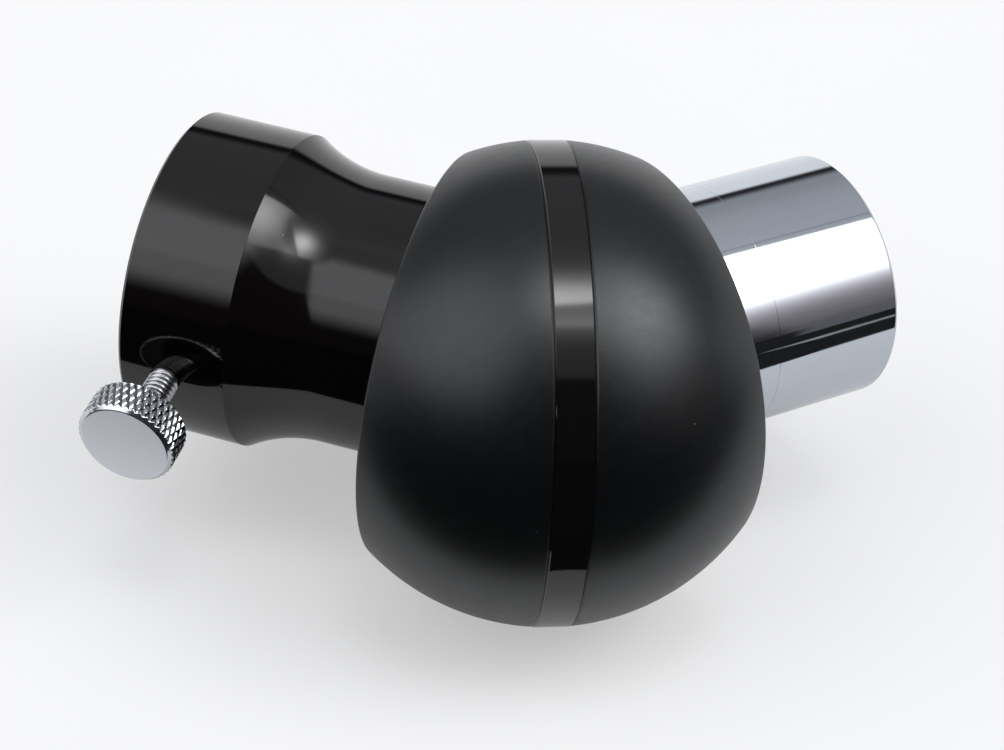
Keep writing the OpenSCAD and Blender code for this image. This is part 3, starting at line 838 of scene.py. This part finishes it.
# the two soft boxes lean together over the front: their inner edges meet at about (-22, 64)
inner_right = plane_side((20, 49), (-20, 67), (45, 52))
inner_left = plane_side((-50, 43), (-25, 67), (-90, 50))

# the right soft box's outer edge leans by half a degree of bearing per degree of lift
right_bearing = bearing(45.0)
raised = sky.math("SUBTRACT", sky.math("MAXIMUM", lift, 12.0), 58.5)
slant = sky.math("SUBTRACT", right_bearing, sky.math("MULTIPLY", raised, 0.5))
outer_right = sky.smooth(slant, 35.5, 32.0)


def right_box():
    """The right soft box: brighter with its lift, with a long dim skirt below its inner edge."""
    growth = sky.math("EXPONENT", sky.math("DIVIDE", lift, 7.0))
    ramp = sky.total(sky.math("MULTIPLY", growth, 0.0185), 0.11)
    shade = sky.math("MULTIPLY", sky.smooth(right_bearing, -15.6, -16.2), -0.11)
    ramp = sky.math("MAXIMUM", sky.total(sky.math("MINIMUM", ramp, 1.6), shade), 0.0)
    low_part = sky.product(sky.smooth(right_bearing, -37.0, -13.0), sky.smooth(lift, 52.0, 40.0))
    skirt = sky.math("MAXIMUM", low_part, sky.smooth(inner_right, -0.02, 0.05))
    return sky.product(ramp, skirt, outer_right, sky.smooth(right_bearing, -85.0, -60.0),
                       sky.smooth(lift, 72.0, 64.0), sky.smooth(lift, -3.0, -1.5))


def rim_line():
    """A dark line beside the right soft box's outer edge."""
    beside = sky.math("ABSOLUTE", sky.math("SUBTRACT", slant, 43.0))
    return sky.product(sky.smooth(beside, 2.2, 0.8), sky.smooth(lift, 30.0, 40.0),
                       sky.smooth(lift, 75.0, 65.0), -0.12)


# the left soft box's lower edge rises to the right
left_bearing = bearing(-90.0)
tilt = sky.math("MULTIPLY", sky.math("SUBTRACT", 24.0, left_bearing), 0.3)
low_edge = sky.smooth(sky.total(lift, tilt), 15.0, 33.0)


def left_box():
    return sky.product(sky.smooth(inner_left, -0.02, 0.03), sky.smooth(left_bearing, 42.0, 30.0),
                       sky.smooth(left_bearing, -50.0, -35.0), low_edge, sky.smooth(lift, 71.5, 64.0), 1.45)


def hot_spots():
    """The boxes' bright middles, the small lights over the place where they meet, and the rim line."""
    right_core = sky.product(glow(54.0, 51.0, 15.0, 5.7), outer_right)
    left_core = sky.product(low_edge, glow(-95.0, 35.0, 20.0, 0.7))
    above = sky.product(sky.smooth(inner_left, -0.01, 0.03), sky.smooth(inner_right, -0.02, 0.04))
    peak = sky.total(sky.product(above, glow(-15.0, 74.0, 12.0, 2.5)), glow(-6.0, 68.0, 7.0, 1.3))
    top = sky.total(sky.product(sky.remap(above, 0.0, 1.0, 0.25, 1.0), glow(-5.0, 79.0, 8.0, 8.0)),
                    glow(-10.0, 80.0, 20.0, 0.6))
    return sky.total(right_core, left_core, top, peak, rim_line())


def light():
    """The colour of the sky: room, left box, right box and hot spots."""
    violet = sky.mix(sky.smooth(lift, 20.0, 40.0), rgb(1.02, 0.98, 1.03), rgb(0.98, 1.0, 1.02))
    rosy = sky.mix(sky.smooth(lift, 18.0, 36.0), rgb(1.10, 1.0, 1.04), rgb(1.0, 1.0, 1.0))
    out = room()
    for strength, color in ((left_box(), violet), (right_box(), rosy), (hot_spots(), (1.0, 1.0, 1.01))):
        out = sky.vector("ADD", out, sky.scaled(color, strength))
    return out


# the camera itself sees a plain pale background
seen = sky.node("ShaderNodeLightPath", out=0)
background = sky.node("ShaderNodeBackground", Color=sky.mix(seen, light(), rgb(0.90, 0.90, 0.905)),
                      Strength=1.0)
world.node_tree.links.new(background, world.node_tree.nodes.new("ShaderNodeOutputWorld").inputs[0])

scene.view_settings.view_transform = "Standard"
scene.view_settings.look = "None"
